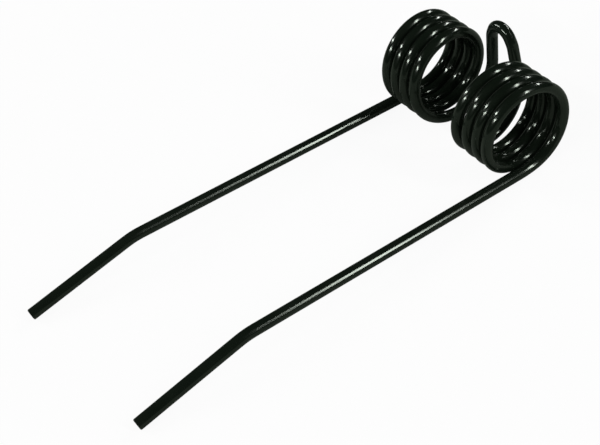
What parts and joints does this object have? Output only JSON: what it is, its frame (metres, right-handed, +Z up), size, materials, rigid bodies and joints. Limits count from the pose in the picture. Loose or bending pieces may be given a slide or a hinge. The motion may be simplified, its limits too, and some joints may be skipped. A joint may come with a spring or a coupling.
{
  "type": "spring tine",
  "caption": "Round-wire spring tine: coils side by side, joined by an upright anchor loop, run out to long legs that bend down slightly before their square-cut ends.",
  "frame": {"origin": "on the coils' common axis, midway between the coils", "axes": "+Y along the coils' axis towards the coil of the longer leg, -X towards the tips of the legs, +Z up as the tine rests on the roots of its legs and on the tip of the shorter one"},
  "size_m": [0.3989, 0.1449, 0.0856],
  "materials": {
    "black_paint": "gloss black paint over spring steel"
  },
  "bodies": {
    "root": {"spring_tine": "black_paint"}
  },
  "joints": []
}
